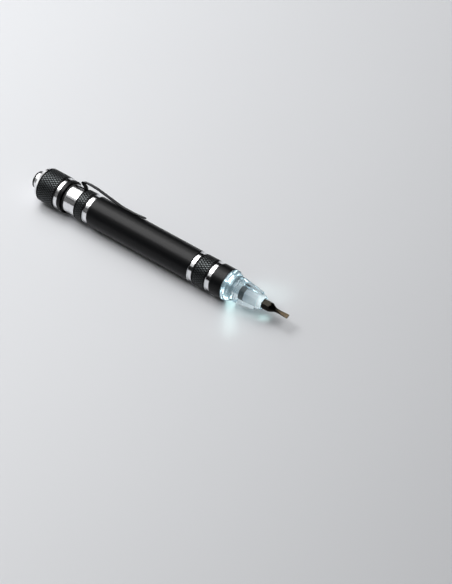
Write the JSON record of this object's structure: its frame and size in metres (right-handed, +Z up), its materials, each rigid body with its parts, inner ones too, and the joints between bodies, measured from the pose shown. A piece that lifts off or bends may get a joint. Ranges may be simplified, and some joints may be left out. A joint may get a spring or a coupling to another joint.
{
  "type": "multi-tool pen",
  "caption": "Pen-shaped screwdriver with a knurled black metal body, pocket clip, push switch in the tail, spare bits in a rack inside the barrel and a clear lit nose that holds the bit.",
  "frame": {"origin": "on the floor under the pen, below the middle of its length", "axes": "+X along the pen towards the bit's tip, +Z up from the surface it lies on, +Y to the side that the clip leans to"},
  "size_m": [0.1368, 0.0154, 0.0164],
  "materials": {
    "black_anodised": "satin black anodised, knurled on the cap and rings, bright where it is cut",
    "polished_metal": "polished",
    "clip_steel": "dark plated spring strip",
    "clear_plastic": "clear polycarbonate",
    "bit_steel": "blackened tool steel, bronze at the tip",
    "spring_steel": "bright wire",
    "cell_steel": "nickel-plated can",
    "brass": "turned brass",
    "rubber": "matt black",
    "black_plastic": "moulded, matt",
    "grey_plastic": "moulded, matt",
    "board": "white solder mask",
    "lamp": "clear lamp body",
    "magnet": "dark nickel plating"
  },
  "bodies": {
    "barrel": {"barrel": "black_anodised", "rear_collar": "black_anodised", "tail_seal": "rubber", "clip_root": "clip_steel", "cell_1": "cell_steel", "cell_2": "cell_steel", "cell_3": "cell_steel", "cell_sleeve": "grey_plastic", "contact_guide": "grey_plastic", "contact_pin": "brass", "contact_spring": "spring_steel"},
    "switch_cartridge": {"switch_housing": "black_plastic", "battery_spring": "spring_steel", "button_spring": "spring_steel"},
    "tail_cap": {"tail_cap": "black_anodised", "switch_ring": "brass"},
    "tail_button": {"tail_button": "polished_metal", "switch_plunger": "grey_plastic"},
    "clip_arm": {"clip_arm": "clip_steel"},
    "bit_rack": {"bit_rack": "grey_plastic", "rack_retainer": "spring_steel", "contact_rod": "brass", "rod_spring": "spring_steel", "bit_slotted_2": "bit_steel", "bit_slotted_3": "bit_steel", "bit_cross_000": "bit_steel", "bit_cross_00": "bit_steel", "bit_cross_1": "bit_steel", "bit_star_6": "bit_steel", "bit_star_8": "bit_steel", "bit_hex_1_5": "bit_steel"},
    "front_seal": {"front_seal": "rubber"},
    "front_collar": {"front_collar": "black_anodised", "led_board": "board", "resistor": "black_plastic", "led_1": "lamp", "led_2": "lamp", "led_3": "lamp", "nose_socket": "clear_plastic", "socket_magnet": "magnet"},
    "driver_bit": {"driver_bit": "bit_steel"}
  },
  "joints": [
    {"name": "tail_cap_back", "type": "slide", "parent": "barrel", "child": "switch_cartridge", "axis": [-1, 0, 0], "range_m": [0, 0.005]},
    {"name": "tail_cap_turn", "type": "hinge", "parent": "switch_cartridge", "child": "tail_cap", "pos_m": [-0.057, 0, 0.00773], "axis": [-1, 0, 0], "range_deg": [0, 1800]},
    {"name": "button_press", "type": "slide", "parent": "switch_cartridge", "child": "tail_button", "axis": [1, 0, 0], "range_m": [0, 0.0015], "stiffness_N_per_m": 1500, "deforming": ["button_spring"]},
    {"name": "clip_lift", "type": "hinge", "parent": "barrel", "child": "clip_arm", "pos_m": [-0.04515, 0.00483, 0.0149], "axis": [0, -0.829, 0.5592], "range_deg": [0, 5], "stiffness_Nm_per_rad": 0.7},
    {"name": "rack_pull_out", "type": "slide", "parent": "barrel", "child": "bit_rack", "axis": [1, 0, 0], "range_m": [0, 0.052]},
    {"name": "collar_advance", "type": "slide", "parent": "bit_rack", "child": "front_seal", "axis": [1, 0, 0], "range_m": [0, 0.005]},
    {"name": "front_collar_turn", "type": "hinge", "parent": "front_seal", "child": "front_collar", "pos_m": [0.03, 0, 0.00773], "axis": [1, 0, 0], "range_deg": [0, 1800]},
    {"name": "bit_pull_out", "type": "slide", "parent": "front_collar", "child": "driver_bit", "axis": [1, 0, 0], "range_m": [0, 0.012]}
  ],
  "couplings": [
    {"joint": "tail_cap_back", "follows": "tail_cap_turn", "m_per_rad": 0.00015915},
    {"joint": "collar_advance", "follows": "front_collar_turn", "m_per_rad": 0.00015915}
  ]
}
